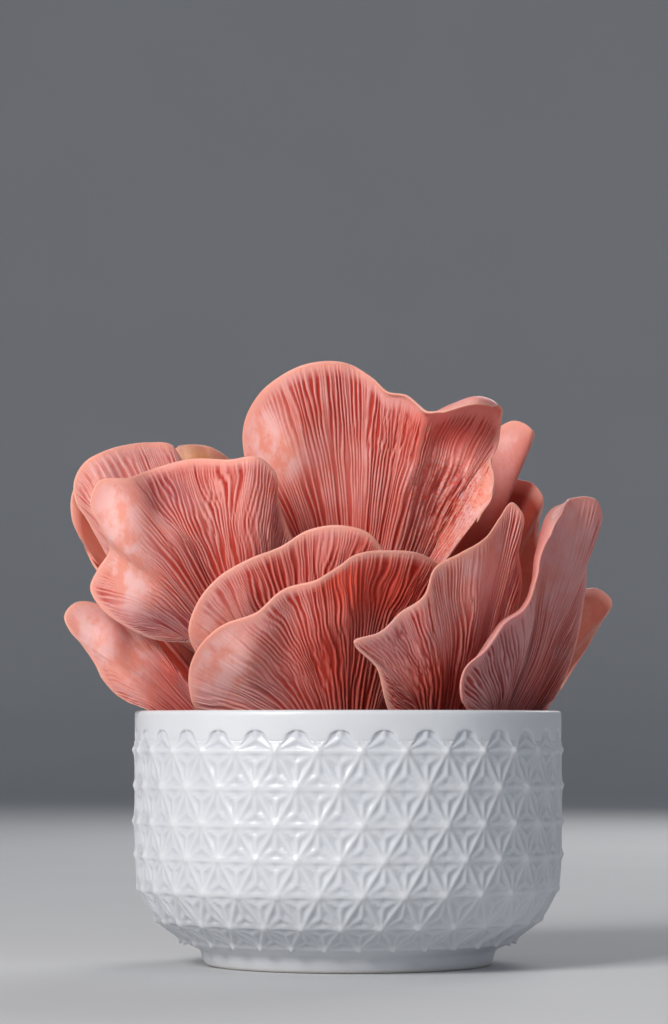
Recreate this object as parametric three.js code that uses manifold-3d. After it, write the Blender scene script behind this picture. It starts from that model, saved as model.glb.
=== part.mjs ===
// Oyster mushroom cluster standing in a small porcelain bowl.
// Millimetres, +Z up, the bowl's axis on the origin and the table at z = 0, front towards -Y.
import * as THREE from "three";
import Module from "manifold-3d";

const wasm = await Module();
wasm.setup();
const { Manifold, Mesh } = wasm;

// ---- Sizes of the bowl ----
const BOWL_DIAMETER = 120;
const BOWL_HEIGHT = 71;
const WALL = 2.5;
const RIM_ROUND = 0.9;
const FOOT_DIAMETER = 83;
const FOOT_HEIGHT = 4.8;
const FOOT_RING = 4.5;
const FOOT_RECESS = 3;
const RELIEF_COLUMNS = 32;
const NODE_HEIGHT = 0.5;
const PIT_DEPTH = 0.7;
const BAND_STEP = 0.4;

// ---- Sizes of the cluster ----
const CLEARANCE = 0.35;
// Edges left shorter than this by a cut are closed up.
const SMALLEST_EDGE = 0.04;
const BUTT_HEIGHT = 34;
const BUTT_DIAMETER = 54;
const STEM_WIDTH = 8;
const NECK_WIDTH = 9;
const STEM_THICKNESS = 6.5;
// How far a stem's end is drawn into the butt before it is cut flush with it.
const STEM_TUCK = 2;
const FLESH_THICKNESS = 2.4;
const MARGIN_THICKNESS = 1.2;
const CURL_PER_MM = 40;
const CURL_LIMIT = 150;

// Everything that follows the bowl is drawn at its design size and scaled with it.
const RS = BOWL_DIAMETER / 120;
const HS = BOWL_HEIGHT / 71;
const INNER_RADIUS = BOWL_DIAMETER / 2 - WALL;
const SPREAD = INNER_RADIUS / 57.5;

// Rows of raised points, bottom to top: [radius, height] at the design size.
const RELIEF_ROWS = [
  [46.5, 6.9], [54, 12.8], [58.8, 21.5], [59.8, 30.9], [60, 40.2], [60, 50.1], [60, 60],
].map(([r, z]) => [r * RS, z * HS]);
const BAND_LOW = 63 * HS;
const BAND_HIGH = 65.4 * HS;

// ---------------------------------------------------------------- meshes
class Shell {
  constructor() {
    this.points = [];
    this.faces = [];
  }
  point(x, y, z) {
    this.points.push(x, y, z);
    return this.points.length / 3 - 1;
  }
  face(a, b, c) {
    this.faces.push(a, b, c);
  }
  // A strip between two rings of the same count, wound so that it faces away from the axis going up.
  band(low, high) {
    low.forEach((a, i) => {
      const j = (i + 1) % low.length;
      this.face(a, low[j], high[j]);
      this.face(a, high[j], high[i]);
    });
  }
  solid() {
    return new Manifold(new Mesh({
      numProp: 3,
      vertProperties: new Float32Array(this.points),
      triVerts: new Uint32Array(this.faces),
    }));
  }
}

function toMesh(name, solid, material) {
  const mesh = solid.getMesh();
  const geometry = new THREE.BufferGeometry();
  geometry.setAttribute("position", new THREE.BufferAttribute(mesh.vertProperties, 3));
  geometry.setIndex(new THREE.BufferAttribute(mesh.triVerts, 1));
  geometry.computeVertexNormals();
  const part = new THREE.Mesh(geometry, material);
  part.name = name;
  return part;
}

// ---------------------------------------------------------------- bowl
const HALF_STEPS = RELIEF_COLUMNS * 2;
// Turned so that one column of raised points stands just right of the front.
const FIRST_COLUMN = -Math.PI / 2 + (3.5 * Math.PI) / 180;
const angleAt = (half) => FIRST_COLUMN + (half * Math.PI) / RELIEF_COLUMNS;

function ring(shell, radius, height) {
  return Array.from({ length: HALF_STEPS }, (_, h) => {
    const z = typeof height === "function" ? height(h) : height;
    return shell.point(radius * Math.cos(angleAt(h)), radius * Math.sin(angleAt(h)), z);
  });
}

// Raised points stand on every other half step, staggered from row to row.
function nodeRow(shell, index) {
  const [radius, z] = RELIEF_ROWS[index];
  const r = radius + NODE_HEIGHT;
  const nodes = new Map();
  for (let h = index % 2; h < HALF_STEPS; h += 2) {
    nodes.set(h, shell.point(r * Math.cos(angleAt(h)), r * Math.sin(angleAt(h)), z));
  }
  return nodes;
}

// One lattice triangle with a shallow pit at its middle.
function pit(shell, a, b, c) {
  const [p, q, s] = [a, b, c].map((i) => new THREE.Vector3().fromArray(shell.points, i * 3));
  const middle = p.add(q).add(s).divideScalar(3);
  const flat = Math.hypot(middle.x, middle.y);
  const shrink = (flat - PIT_DEPTH) / flat;
  const m = shell.point(middle.x * shrink, middle.y * shrink, middle.z);
  shell.face(a, b, m);
  shell.face(b, c, m);
  shell.face(c, a, m);
}

function lattice(shell, rows) {
  for (let k = 0; k + 1 < rows.length; k += 1) {
    for (const [h, left] of rows[k]) {
      const apex = (h + 1) % HALF_STEPS;
      const right = (h + 2) % HALF_STEPS;
      const far = (h + 3) % HALF_STEPS;
      pit(shell, left, rows[k].get(right), rows[k + 1].get(apex));
      pit(shell, rows[k].get(right), rows[k + 1].get(far), rows[k + 1].get(apex));
    }
  }
}

// Joins a plain ring to a row of raised points; `up` says that the row lies above the ring.
function seam(shell, plain, nodes, up) {
  const put = (a, b, c) => (up ? shell.face(a, b, c) : shell.face(a, c, b));
  for (const [h, left] of nodes) {
    const mid = (h + 1) % HALF_STEPS;
    const next = (h + 2) % HALF_STEPS;
    put(plain[h], plain[mid], left);
    put(plain[mid], nodes.get(next), left);
    put(plain[mid], plain[next], nodes.get(next));
  }
}

// The inside wall runs one wall thickness behind the outside.
function innerProfile() {
  const rows = RELIEF_ROWS.slice(0, 5);
  return rows.map(([r, z], i) => {
    const [r0, z0] = rows[Math.max(i - 1, 0)];
    const [r1, z1] = rows[Math.min(i + 1, rows.length - 1)];
    const length = Math.hypot(r1 - r0, z1 - z0);
    return [r - (WALL * (z1 - z0)) / length, z + (WALL * (r1 - r0)) / length];
  });
}

const FLOOR = innerProfile()[0][1] - 2;

function underside(shell) {
  const foot = FOOT_DIAMETER / 2;
  const centre = shell.point(0, 0, FOOT_RECESS);
  const rings = [
    [foot - FOOT_RING - 2.5, FOOT_RECESS],
    [foot - FOOT_RING - 0.5, 0.6],
    [foot - FOOT_RING, 0],
    [foot - 2.2, 0],
    [foot - 1.4, 0.5],
    [foot, FOOT_HEIGHT],
  ].map(([r, z]) => ring(shell, r, z));
  rings[0].forEach((a, i) => shell.face(centre, rings[0][(i + 1) % HALF_STEPS], a));
  rings.slice(1).forEach((high, i) => shell.band(rings[i], high));
  return rings.at(-1);
}

function bowl() {
  const shell = new Shell();
  const outer = BOWL_DIAMETER / 2;
  const foot = underside(shell);
  const rows = RELIEF_ROWS.map((_, k) => nodeRow(shell, k));
  seam(shell, foot, rows[0], true);
  lattice(shell, rows);
  const scallop = (h) => (h % 2 === 0 ? BAND_LOW : BAND_HIGH);
  let last = ring(shell, outer - BAND_STEP, (h) => scallop(h) - BAND_STEP);
  seam(shell, last, rows.at(-1), false);
  const inner = innerProfile().reverse();
  const rest = [
    [outer, scallop],
    [outer, BOWL_HEIGHT - RIM_ROUND],
    [outer - RIM_ROUND * 0.4, BOWL_HEIGHT - RIM_ROUND * 0.2],
    [outer - WALL / 2, BOWL_HEIGHT],
    [outer - WALL + RIM_ROUND * 0.4, BOWL_HEIGHT - RIM_ROUND * 0.2],
    [outer - WALL, BOWL_HEIGHT - RIM_ROUND],
    ...inner,
    [inner.at(-1)[0] - 6, FLOOR + 0.4],
    [inner.at(-1)[0] - 12, FLOOR],
  ];
  for (const [r, z] of rest) {
    const next = ring(shell, r, z);
    shell.band(last, next);
    last = next;
  }
  const centre = shell.point(0, 0, FLOOR);
  last.forEach((a, i) => shell.face(a, last[(i + 1) % HALF_STEPS], centre));
  return shell.solid();
}

// The wall with its clearance, as a plain tube: what leans over the rim is cut clear of it.
function wallGuard() {
  const shell = new Shell();
  const inner = INNER_RADIUS - CLEARANCE;
  const outer = BOWL_DIAMETER / 2 + NODE_HEIGHT + CLEARANCE;
  const top = BOWL_HEIGHT + CLEARANCE;
  const low = RELIEF_ROWS[2][1];
  const rings = [[inner, low], [outer, low], [outer, top], [inner, top]]
    .map(([r, z]) => ring(shell, r, z));
  rings.forEach((a, i) => shell.band(a, rings[(i + 1) % rings.length]));
  return shell.solid();
}

// ---------------------------------------------------------------- fused butt of the cluster
const BUTT_TOP = FLOOR + CLEARANCE + BUTT_HEIGHT * HS;

function butt(grow = 0) {
  const shell = new Shell();
  const sides = 28;
  const bottom = FLOOR + CLEARANCE - grow;
  const crown = BUTT_TOP + grow;
  const outline = [[0.86, 0], [1, 0.2], [1.04, 0.5], [1.02, 0.8], [1, 0.95], [0.94, 1]];
  const rings = outline.map(([wide, up]) => Array.from({ length: sides }, (_, i) => {
    const a = (i * 2 * Math.PI) / sides;
    const lump = 1 + 0.05 * Math.sin(3 * a + 1) + 0.035 * Math.sin(7 * a + 4 * up);
    const r = (BUTT_DIAMETER / 2) * SPREAD * wide * lump + grow;
    return shell.point(r * Math.cos(a), r * Math.sin(a), bottom + (crown - bottom) * up);
  }));
  const low = shell.point(0, 0, bottom);
  const top = shell.point(0, 0, crown);
  rings[0].forEach((a, i) => shell.face(low, rings[0][(i + 1) % sides], a));
  rings.slice(1).forEach((high, i) => shell.band(rings[i], high));
  rings.at(-1).forEach((a, i) => shell.face(a, rings.at(-1)[(i + 1) % sides], top));
  return shell.solid();
}

// ---------------------------------------------------------------- fruit bodies
// Each one is a stem that opens into a fan. `root` is where the stem leaves the butt and `neck`
// where it opens; `face` is the way the gills look. The margin is a line of points, left to right
// as seen from the gills: [x, y, height over the bowl's rim, radius of the roll (1 if left out)].
const FRUIT_BODIES = [
  {
    name: "cap_front", root: [-3, -19], neck: [-1, -29, -5], face: [0, -1, 0], bulge: 2,
    margin: [
      [-39, -31, -3], [-42.5, -35, 3.5], [-43, -38, 10.5], [-39.5, -42, 18],
      [-32.5, -45, 23.5, 1.2], [-24.5, -47, 26, 1.2], [-17.5, -48, 31.5, 1.2],
      [-8, -50, 34.5, 1.2], [-2.5, -49, 38, 1.5], [1.5, -48, 41, 1.5], [10.5, -45, 42.5, 1.2],
      [19.5, -40, 42], [25, -35, 38.5], [25, -31, 28],
    ],
  },
  {
    name: "cap_front_back", root: [-11, -11], neck: [-9, -20, 3], face: [0, -1, 0], bulge: 2,
    margin: [
      [-37, -24, 10.5], [-41.5, -27, 16], [-43.5, -30, 22], [-41.5, -31, 28.5], [-35.5, -33, 36],
      [-26.5, -35, 41], [-18.5, -35, 44], [-11, -36, 48.5], [-2.5, -37, 50], [5.5, -36, 48],
      [9.5, -34, 43], [12, -31, 35.5], [11, -27, 24],
    ],
  },
  {
    name: "cap_right_front", root: [8, -15], neck: [31, -26, -9], face: [0.2, -1, 0], bulge: 2,
    margin: [
      [12, -40, -3], [9.5, -43, 3], [7.5, -45, 11], [1.5, -47, 18.5], [8.5, -46, 21],
      [14, -46, 26], [20.5, -45, 31], [22.5, -44, 36.5], [30.5, -39, 42.5], [36.5, -34, 47],
      [40.5, -29, 52.5, 1.5], [45, -26, 57, 1.5], [47.5, -25, 54.5, 1.5], [46.5, -22, 44.5],
      [47.5, -20, 36], [46, -18, 23.5], [42, -18, 9.5],
    ],
  },
  {
    name: "cap_right", root: [17, -8], neck: [47, -16, -9], face: [0.4, -0.9, 0], bulge: 2,
    margin: [
      [33, -40, -1.5], [30.5, -43, 3, 2], [31.5, -43, 10, 2], [36.5, -42, 17.5, 2.5],
      [41, -40, 24, 2.5], [46.5, -36, 29, 2.5], [49.5, -31, 37, 2.5], [51, -27, 45.5, 3],
      [55, -23, 55.5, 4], [61, -20, 58.5, 2], [69, -14, 58, 1.5], [70, -12, 54.5, 1.5],
      [67, -9, 48.5], [66, -7, 34], [64, -8, 20.5], [60.5, -10, 9.5], [57.5, -12, 3.5],
    ],
  },
  {
    name: "cap_tall", root: [-9, 3], neck: [4, 8, 17], face: [0.05, -1, -0.1], bulge: 3,
    margin: [
      [-22, 4, 55.5], [-28, 2, 68], [-29, 0, 81], [-25.5, -3, 88], [-19, -7, 93.5],
      [-11, -10, 97], [-0.5, -11, 97, 1.2], [7, -12, 92.5, 2], [11, -12, 89, 2.2],
      [16, -13, 88, 2.2], [22, -15, 83.5, 2.5], [28.5, -13, 86.5, 4], [36.5, -10, 89, 5],
      [42.5, -7, 86, 3], [42.5, -6, 78, 1.5], [40, -6, 69, 2], [41.5, -7, 62.5, 4],
      [38.5, -8, 55, 4],
    ],
  },
  {
    name: "cap_left_front", root: [-19, -4], neck: [-28, -12, 20], face: [-0.3, -1, 0], bulge: 4,
    margin: [
      [-36, -17, 18.5], [-45, -19, 19], [-54, -21, 20], [-61, -22, 23], [-68.5, -22, 29],
      [-71, -21, 34, 1.5], [-69, -20, 39, 2], [-66, -20, 44, 2.5], [-68.5, -23, 51, 3],
      [-71, -24, 57, 3.5], [-68.5, -24, 63, 3.5], [-61, -21, 64, 2.5], [-55.5, -16, 66.5, 1.2],
      [-44.5, -17, 69.5], [-33, -22, 69], [-25, -24, 69.5], [-20.5, -22, 66], [-18.5, -18, 56],
      [-14.5, -13, 44.5],
    ],
  },
  {
    name: "cap_left_back", root: [-20, 6], neck: [-30, 4, 13], face: [-0.5, -0.85, 0], bulge: 3,
    margin: [
      [-59, 4, 34], [-67, 1, 43.5, 2], [-72.5, -1, 53, 3], [-76.5, -1, 58.5, 3],
      [-77.5, 0, 63.5, 4], [-74.5, 1, 70, 3], [-69.5, 2, 73, 2], [-63.5, 4, 75, 1.5],
      [-57, 6, 76], [-50.5, 7, 75.5], [-47, 8, 71], [-42, 7, 63], [-38.5, 5, 51.5],
    ],
  },
  {
    name: "cap_left_low_back", root: [-18, 14], neck: [-34, 15, 7], face: [-0.9, 0.4, 0], bulge: 2,
    margin: [
      [-66.5, 32, 50, 2], [-66.5, 30, 60, 2], [-68.5, 24, 66.5, 2], [-72.5, 17, 67, 2],
      [-77, 11, 64.5, 2], [-78.5, 6, 59, 2], [-78, 6, 54, 2], [-73.5, 9, 44], [-70.5, 7, 38],
    ],
  },
  {
    name: "cap_low_left", root: [-18, -14], neck: [-40, -14, -2], face: [-0.25, -1, -0.2], bulge: 1,
    margin: [
      [-57, -16, 1.2], [-62, -17, 2.5], [-67.5, -19, 8], [-70, -19, 13], [-73, -19, 17.5],
      [-77, -19, 22.5], [-78.5, -18, 26], [-76, -16, 29.5, 1.5], [-70.5, -13, 29.5, 1.5],
      [-66, -12, 27, 1.5], [-60, -12, 24, 1.5], [-54, -13, 19.5, 1.5], [-49, -13, 12, 1.5],
    ],
  },
  {
    name: "cap_right_low_back", root: [19, 2], neck: [44, 10, -3], face: [0.6, 0.8, 0], bulge: 2,
    margin: [
      [61.5, 27, 6], [66, 34, 13], [75, 44, 26.5], [78, 45, 32.5], [74.5, 44, 35.5],
      [70, 40, 35.5], [62, 32, 29],
    ],
  },
  {
    name: "cap_right_back", root: [12, 10], neck: [24, 16, 5], face: [0.3, 0.95, 0], bulge: 2,
    margin: [
      [54.5, 27, 17.5], [58, 34, 29.5], [57.5, 38, 44.5], [56, 38, 56], [57, 35, 62.5, 3],
      [54, 36, 66.5, 2], [50, 39, 68, 2], [51, 33, 77, 2], [53.5, 31, 81.5, 2], [49.5, 32, 84, 3],
      [44, 34, 82, 2], [36, 35, 78.5], [27, 34, 67.5], [21.5, 32, 54],
    ],
  },
  {
    name: "cap_back_left", root: [-9, 14], neck: [-24, 20, 7], face: [-0.4, 0.9, 0], bulge: 2,
    margin: [
      [-28, 34, 53, 2], [-29.5, 31, 64.5, 2], [-33.5, 26, 72, 2], [-39.5, 22, 76, 2],
      [-45.5, 20, 77.5, 3], [-49.5, 21, 75.5, 2], [-52.5, 23, 69.5], [-53, 25, 58.5],
      [-51.5, 26, 44], [-47, 25, 32],
    ],
  },
  {
    name: "cap_back_right", root: [9, 19], neck: [18, 26, 1], face: [0.45, 0.9, 0], bulge: 3,
    columns: 16,
    margin: [
      [48, 30, 11], [56, 41, 25], [52, 49, 37], [42, 56, 47], [28, 59, 55], [14, 58, 54],
      [3, 53, 47], [-3, 47, 33], [2, 41, 17],
    ],
  },
  {
    name: "cap_back", root: [-1, 21], neck: [-8, 30, -1], face: [-0.1, 1, 0], bulge: 3,
    columns: 16,
    margin: [
      [5, 44, 9], [0, 52, 23], [-4, 57, 35], [-14, 60, 42], [-28, 59.5, 39], [-38, 55, 31],
      [-42, 49, 21], [-36, 40, 9],
    ],
  },
  {
    name: "cap_back_left_low", root: [-14, 22], neck: [-28, 24, -1], face: [-0.6, 0.8, 0], bulge: 2,
    columns: 16,
    margin: [
      [-38, 46, 33], [-46, 49, 43], [-57, 48, 46], [-66, 43, 40], [-70, 37, 29], [-68, 32, 17],
      [-60, 28, 6],
    ],
  },
];

const LENGTH_STEPS = [0, 0.25, 0.5, 0.75, 1];
const ROLL_STEPS = [0.5, 1];

// A smooth line through the margin's points, sampled at even distances along it.
function sampleMargin(margin, count) {
  const rows = margin.map(([x, y, h, roll = 1]) => (
    [x * SPREAD, y * SPREAD, BOWL_HEIGHT + h * SPREAD, roll]));
  const along = [0];
  for (let i = 1; i < rows.length; i += 1) {
    const [a, b] = [rows[i - 1], rows[i]];
    along.push(along[i - 1] + Math.hypot(b[0] - a[0], b[1] - a[1], b[2] - a[2]));
  }
  return Array.from({ length: count }, (_, n) => {
    const t = (along.at(-1) * n) / (count - 1);
    let i = 0;
    while (i < rows.length - 2 && along[i + 1] <= t) i += 1;
    return hermite(rows, along, i, t);
  });
}

function slope(rows, along, i, k) {
  const rise = (j) => (rows[j + 1][k] - rows[j][k]) / (along[j + 1] - along[j]);
  if (i === 0) return rise(0);
  if (i === rows.length - 1) return rise(i - 1);
  const before = along[i] - along[i - 1];
  const after = along[i + 1] - along[i];
  return (rise(i - 1) * after + rise(i) * before) / (before + after);
}

function hermite(rows, along, i, t) {
  const span = along[i + 1] - along[i];
  const x = (t - along[i]) / span;
  return rows[i].map((_, k) => (
    (2 * x ** 3 - 3 * x ** 2 + 1) * rows[i][k]
    + (x ** 3 - 2 * x ** 2 + x) * span * slope(rows, along, i, k)
    + (3 * x ** 2 - 2 * x ** 3) * rows[i + 1][k]
    + (x ** 3 - x ** 2) * span * slope(rows, along, i + 1, k)
  ));
}

const vec = (a) => new THREE.Vector3(...a);
const between = (a, b, t) => a.clone().lerp(b, t);

// Middle sheet of a fruit body: one line per margin sample, from the root out to the rolled edge.
function middleSheet(body, grow) {
  const columns = body.columns ?? 24;
  const root = vec([body.root[0] * SPREAD, body.root[1] * SPREAD, BUTT_TOP - STEM_TUCK]);
  const neck = vec([body.neck[0] * SPREAD, body.neck[1] * SPREAD,
    BOWL_HEIGHT + body.neck[2] * SPREAD]);
  const face = vec(body.face).normalize();
  const rim = sampleMargin(body.margin, columns);
  const side = neck.clone().sub(root).cross(face).normalize();
  return rim.map((sample, i) => {
    const u = i / (columns - 1) - 0.5;
    const edge = vec(sample.slice(0, 3));
    const a = root.clone().addScaledVector(side, u * (STEM_WIDTH * SPREAD + 2 * grow));
    const b = neck.clone().addScaledVector(side, u * (NECK_WIDTH * SPREAD + 2 * grow));
    const c = between(neck, edge, 0.5).addScaledVector(face, body.bulge);
    return sheetLine(a, b, c, edge, face, Math.max(sample[3], 0.5), grow);
  });
}

// A cubic curve from root to margin, ending in an arc that rolls towards the gills.
function sheetLine(a, b, c, edge, face, roll, grow) {
  const out = edge.clone().sub(c).normalize();
  const curl = (Math.min(CURL_LIMIT, CURL_PER_MM * roll) * Math.PI) / 180;
  const d = edge.clone().addScaledVector(out, grow - roll * Math.sin(Math.min(curl, Math.PI / 2)));
  const over = face.clone().addScaledVector(out, -out.dot(face)).normalize();
  const line = LENGTH_STEPS.map((v) => new THREE.CubicBezierCurve3(a, b, c, d).getPoint(v));
  for (const s of ROLL_STEPS) {
    line.push(d.clone()
      .addScaledVector(out, roll * Math.sin(s * curl))
      .addScaledVector(over, roll * (1 - Math.cos(s * curl))));
  }
  return line;
}

function sheetNormals(sheet) {
  return sheet.map((line, i) => line.map((_, j) => {
    const du = sheet[Math.min(i + 1, sheet.length - 1)][j].clone()
      .sub(sheet[Math.max(i - 1, 0)][j]);
    const dv = line[Math.min(j + 1, line.length - 1)].clone().sub(line[Math.max(j - 1, 0)]);
    return du.cross(dv).normalize();
  }));
}

// Round in the stem, thin and even in the fan, thinnest at the margin.
function thicknessAt(u, v) {
  const fan = Math.min(1, Math.max(0, v / 0.5));
  const round = Math.sqrt(Math.max(0.06, 1 - (1 - fan) * (2 * u - 1) ** 2));
  const stem = STEM_THICKNESS + (FLESH_THICKNESS - STEM_THICKNESS) * fan;
  const flesh = v <= 0.5 ? stem : FLESH_THICKNESS
    + ((MARGIN_THICKNESS - FLESH_THICKNESS) * (v - 0.5)) / 0.5;
  return Math.max(MARGIN_THICKNESS, flesh) * round;
}

function fruitBody(body, grow = 0) {
  const shell = new Shell();
  const sheet = middleSheet(body, grow);
  const normals = sheetNormals(sheet);
  const last = sheet[0].length - 1;
  const sides = [1, -1].map((sign) => sheet.map((line, i) => line.map((p, j) => {
    const half = thicknessAt(i / (sheet.length - 1), LENGTH_STEPS[j] ?? 1) / 2 + grow;
    const q = p.clone().addScaledVector(normals[i][j], sign * half);
    return shell.point(q.x, q.y, q.z);
  })));
  const quad = (a, b, c, d) => {
    shell.face(a, b, c);
    shell.face(a, c, d);
  };
  const [front, back] = sides;
  for (let i = 0; i + 1 < sheet.length; i += 1) {
    for (let j = 0; j < last; j += 1) {
      quad(front[i][j], front[i + 1][j], front[i + 1][j + 1], front[i][j + 1]);
      quad(back[i][j], back[i][j + 1], back[i + 1][j + 1], back[i + 1][j]);
    }
    quad(front[i][0], back[i][0], back[i + 1][0], front[i + 1][0]);
    quad(front[i][last], front[i + 1][last], back[i + 1][last], back[i][last]);
  }
  const end = sheet.length - 1;
  for (let j = 0; j < last; j += 1) {
    quad(front[0][j], front[0][j + 1], back[0][j + 1], back[0][j]);
    quad(front[end][j], back[end][j], back[end][j + 1], front[end][j + 1]);
  }
  return shell.solid();
}

function mainPiece(solid) {
  const pieces = solid.decompose();
  return pieces.reduce((best, piece) => (piece.volume() > best.volume() ? piece : best));
}

// Cuts a body clear of the ones already standing, and keeps its main piece.
function clearOf(solid, others) {
  let free = solid;
  for (const other of others) {
    free = free.subtract(other);
  }
  return mainPiece(mainPiece(free).simplify(SMALLEST_EDGE));
}

// ---------------------------------------------------------------- assembly
const porcelain = new THREE.MeshStandardMaterial({ color: 0xf1f2f4, roughness: 0.25, metalness: 0 });
const flesh = new THREE.MeshStandardMaterial({ color: 0xe0897f, roughness: 0.75, metalness: 0 });
const buttFlesh = new THREE.MeshStandardMaterial({ color: 0xe8c4b4, roughness: 0.8, metalness: 0 });

const cluster = new THREE.Group();
cluster.name = "mushroom_cluster";
cluster.add(toMesh("bowl", bowl(), porcelain));
cluster.add(toMesh("cluster_butt", butt(), buttFlesh));

const standing = [wallGuard(), butt(CLEARANCE)];
for (const body of FRUIT_BODIES) {
  cluster.add(toMesh(body.name, clearOf(fruitBody(body), standing), flesh));
  standing.push(fruitBody(body, CLEARANCE));
}

export default cluster;
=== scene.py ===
"""Pink oyster mushrooms standing in a small porcelain bowl with a star-lattice relief."""

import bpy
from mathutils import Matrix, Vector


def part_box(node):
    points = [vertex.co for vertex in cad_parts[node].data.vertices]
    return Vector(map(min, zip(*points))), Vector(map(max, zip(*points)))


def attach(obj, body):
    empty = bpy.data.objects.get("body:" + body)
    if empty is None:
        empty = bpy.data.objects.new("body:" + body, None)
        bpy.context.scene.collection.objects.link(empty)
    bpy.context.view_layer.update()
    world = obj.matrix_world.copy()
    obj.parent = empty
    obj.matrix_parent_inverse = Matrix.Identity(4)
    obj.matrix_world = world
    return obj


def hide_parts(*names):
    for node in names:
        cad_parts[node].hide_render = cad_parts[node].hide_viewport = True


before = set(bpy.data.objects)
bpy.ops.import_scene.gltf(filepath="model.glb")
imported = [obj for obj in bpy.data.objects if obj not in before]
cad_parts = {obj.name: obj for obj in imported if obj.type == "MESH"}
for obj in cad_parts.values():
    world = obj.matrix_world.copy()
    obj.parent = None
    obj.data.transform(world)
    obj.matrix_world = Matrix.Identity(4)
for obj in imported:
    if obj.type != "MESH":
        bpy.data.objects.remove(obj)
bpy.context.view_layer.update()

import bpy
import numpy as np

MM = 0.001


# ---------------------------------------------------------------- numbers and noise
NOISE_CELLS = 64


def smoothstep(low, high, x):
    """0 below low, 1 above high, and an S-shaped rise between them."""
    t = np.clip((x - low) / (high - low), 0.0, 1.0)
    return t * t * (3.0 - 2.0 * t)


def unit(vectors):
    """Each vector divided by its own length."""
    return vectors / np.maximum(np.linalg.norm(vectors, axis=-1, keepdims=True), 1e-12)


def hermite(t, span, start, start_slope, end, end_slope):
    """Cubic curve across a span, from start to end with the slopes given, at t from 0 to 1."""
    return ((2 * t ** 3 - 3 * t ** 2 + 1) * start + (t ** 3 - 2 * t ** 2 + t) * span * start_slope
            + (3 * t ** 2 - 2 * t ** 3) * end + (t ** 3 - t ** 2) * span * end_slope)


def soft_noise(x, y, seed):
    """Value noise from -1 to 1: random heights on a unit lattice, blended with quintic steps."""
    heights = np.random.default_rng(seed).uniform(-1.0, 1.0, (NOISE_CELLS, NOISE_CELLS))
    xi, yi = np.floor(x).astype(int), np.floor(y).astype(int)
    fx, fy = x - xi, y - yi
    fx = fx ** 3 * (fx * (fx * 6 - 15) + 10)
    fy = fy ** 3 * (fy * (fy * 6 - 15) + 10)
    left, right = xi % NOISE_CELLS, (xi + 1) % NOISE_CELLS
    low, high = yi % NOISE_CELLS, (yi + 1) % NOISE_CELLS
    near = heights[left, low] * (1 - fx) + heights[right, low] * fx
    far = heights[left, high] * (1 - fx) + heights[right, high] * fx
    return near * (1 - fy) + far * fy


# ---------------------------------------------------------------- meshes
def build_mesh(name, points, quads, triangles, surface=None, stains_and_painted_light=None):
    """A smooth-shaded mesh object from points in millimetres, quads and triangles, with up to
    two colour layers that give four numbers for each point."""
    mesh = bpy.data.meshes.new(name)
    loops = np.concatenate([quads.ravel(), triangles.ravel()])
    starts = np.concatenate([
        np.arange(len(quads)) * 4, len(quads) * 4 + np.arange(len(triangles)) * 3])
    mesh.vertices.add(len(points))
    mesh.vertices.foreach_set("co", (points * MM).astype(np.float32).ravel())
    mesh.loops.add(len(loops))
    mesh.loops.foreach_set("vertex_index", loops.astype(np.int32))
    mesh.polygons.add(len(starts))
    mesh.polygons.foreach_set("loop_start", starts.astype(np.int32))
    mesh.polygons.foreach_set("use_smooth", np.ones(len(starts), bool))
    mesh.update(calc_edges=True)
    mesh.validate()
    for title, layer in (("surface", surface), ("stains_and_painted_light", stains_and_painted_light)):
        if layer is not None:
            colours = mesh.color_attributes.new(title, "FLOAT_COLOR", "POINT")
            colours.data.foreach_set("color", layer.astype(np.float32).ravel())
    piece = bpy.data.objects.new(name, mesh)
    bpy.context.scene.collection.objects.link(piece)
    return piece


def ring_quads(rows, columns):
    """Faces of a grid that closes round on itself along its columns, rows going outwards or up."""
    k, i = np.meshgrid(np.arange(rows - 1), np.arange(columns), indexing="ij")
    j = (i + 1) % columns
    return np.stack([k * columns + i, k * columns + j, (k + 1) * columns + j,
                     (k + 1) * columns + i], axis=-1).reshape(-1, 4)


def end_fan(row, columns, centre, below=False):
    """Triangles that close one row of such a grid on a centre point, seen from above or below."""
    i = np.arange(columns)
    here, after = row * columns + i, row * columns + (i + 1) % columns
    middle = np.full(columns, centre)
    return np.stack([middle, after, here] if below else [here, after, middle], axis=-1)


def circle(radius, height, angle):
    """Points at a radius and a height, both of which may change along the angle."""
    return np.stack([radius * np.cos(angle), radius * np.sin(angle),
                     np.broadcast_to(height, np.broadcast(radius, angle).shape)], axis=-1)


def whole_turn(count):
    """Evenly spaced angles once round."""
    return np.arange(count) * 2 * np.pi / count


def declare(piece, node, material):
    """The piece rides on the root, stands for its CAD node and wears the material."""
    piece.data.materials.append(material)
    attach(piece, "root")
    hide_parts(node)


# ---------------------------------------------------------------- bowl
# Pieces are worked out in millimetres. The first column stands just right of the front.
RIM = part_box("bowl")[1][2] / MM
RADIUS = 60.0
COLUMNS = 32
FIRST_COLUMN = np.radians(-90.0 + 3.5)
ROW_HEIGHT = 9.85
# Radius and height of the wall at each row of raised points, from the lowest up.
BODY_ROWS = np.array([
    (46.5, 6.9), (54.0, 12.8), (58.8, 21.5), (59.8, 30.9), (60.0, 40.2), (60.0, 50.1),
    (60.0, 60.0)])
LAST_ROW = len(BODY_ROWS) - 1
# Radius, height and wear of the rings under the floor and round the foot ring, then the reach,
# rise and relief of the collar that joins it to the lowest row.
FOOT = [(20, 3.2, 0), (32, 3.1, 0), (34.5, 2.6, 0.2), (36.2, 0.7, 0.8), (36.9, 0.1, 1),
        (37.6, 0.0, 1), (39.2, 0.0, 1), (40.0, 0.25, 0.8), (40.5, 0.9, 0.2), (40.9, 2.2, 0),
        (41.3, 3.6, 0), (41.9, 4.5, 0), (43.2, 5.1, 0)]
COLLAR = (3.2, 1.6, -0.15)
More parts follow.
